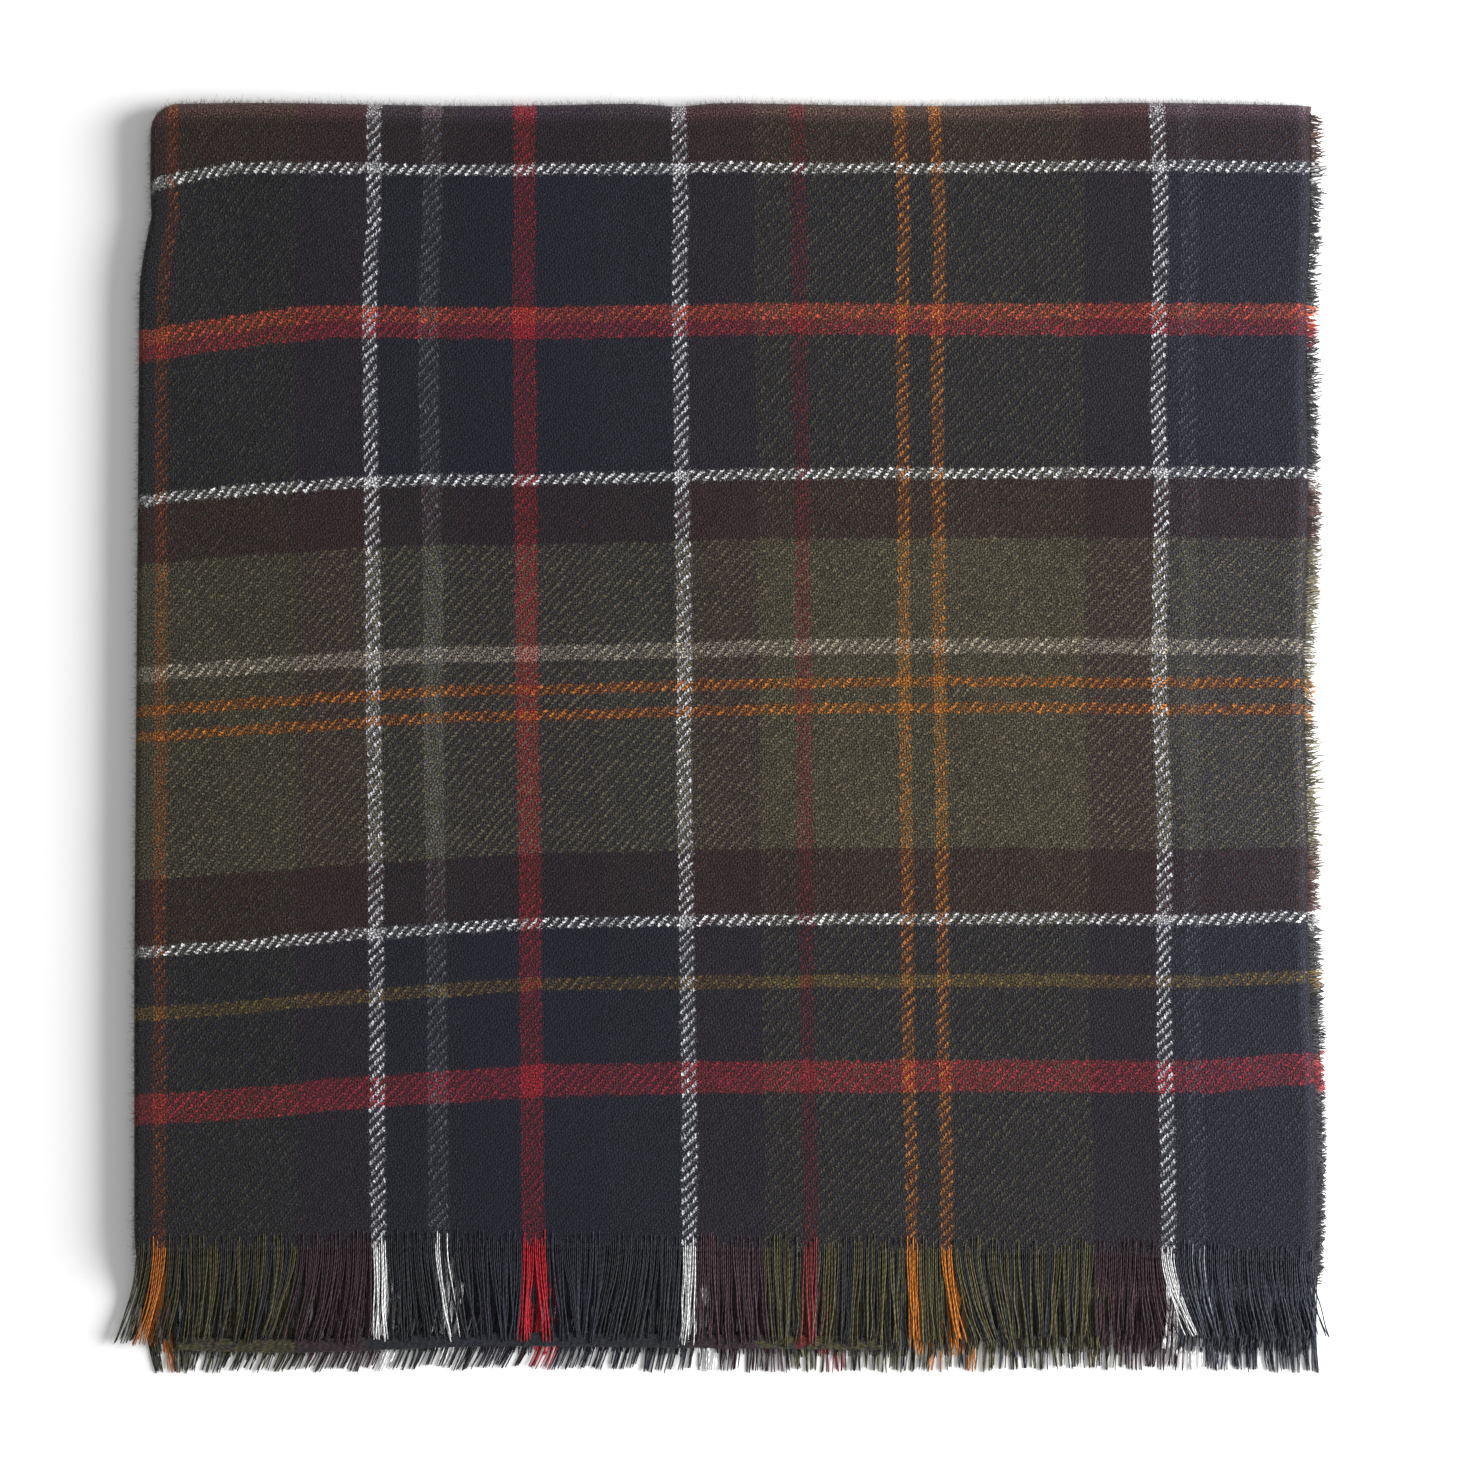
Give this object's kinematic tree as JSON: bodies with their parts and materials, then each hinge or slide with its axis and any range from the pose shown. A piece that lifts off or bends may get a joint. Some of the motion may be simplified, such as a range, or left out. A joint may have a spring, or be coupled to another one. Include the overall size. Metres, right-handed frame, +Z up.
{
  "type": "folded throw blanket",
  "caption": "Fringed tartan throw of brushed twill, folded in quarters, with a crosswise fold that opens flat.",
  "frame": {"origin": "centre of the bounding box on the plane that the throw lies on", "axes": "+Z up through the four layers, +Y towards the crosswise fold, -X towards the lengthwise fold, +X towards the cut side edge"},
  "size_m": [0.713, 0.7584, 0.0156],
  "materials": {
    "tartan_cloth": "matte",
    "warp_fringe": "matte",
    "weft_fringe": "matte"
  },
  "bodies": {
    "lower_half": {"panel_1_bottom": "tartan_cloth", "panel_2_lower_inner": "tartan_cloth", "side_fold_lower": "tartan_cloth", "outer_fold_lower": "tartan_cloth", "inner_fold_lower": "tartan_cloth", "corner_fold_lower": "tartan_cloth", "end_fringe_1": "warp_fringe", "end_fringe_2": "warp_fringe", "side_fringe_1": "weft_fringe", "side_fringe_2": "weft_fringe"},
    "upper_half": {"panel_3_upper_inner": "tartan_cloth", "panel_4_top": "tartan_cloth", "side_fold_upper": "tartan_cloth", "outer_fold_upper": "tartan_cloth", "inner_fold_upper": "tartan_cloth", "corner_fold_upper": "tartan_cloth", "end_fringe_3": "warp_fringe", "end_fringe_4": "warp_fringe", "side_fringe_3": "weft_fringe", "side_fringe_4": "weft_fringe"}
  },
  "joints": [
    {"name": "crosswise_fold", "type": "hinge", "parent": "lower_half", "child": "upper_half", "pos_m": [0, 0.37929, 0.0078], "axis": [-1, 0, 0], "range_deg": [0, 180]}
  ]
}
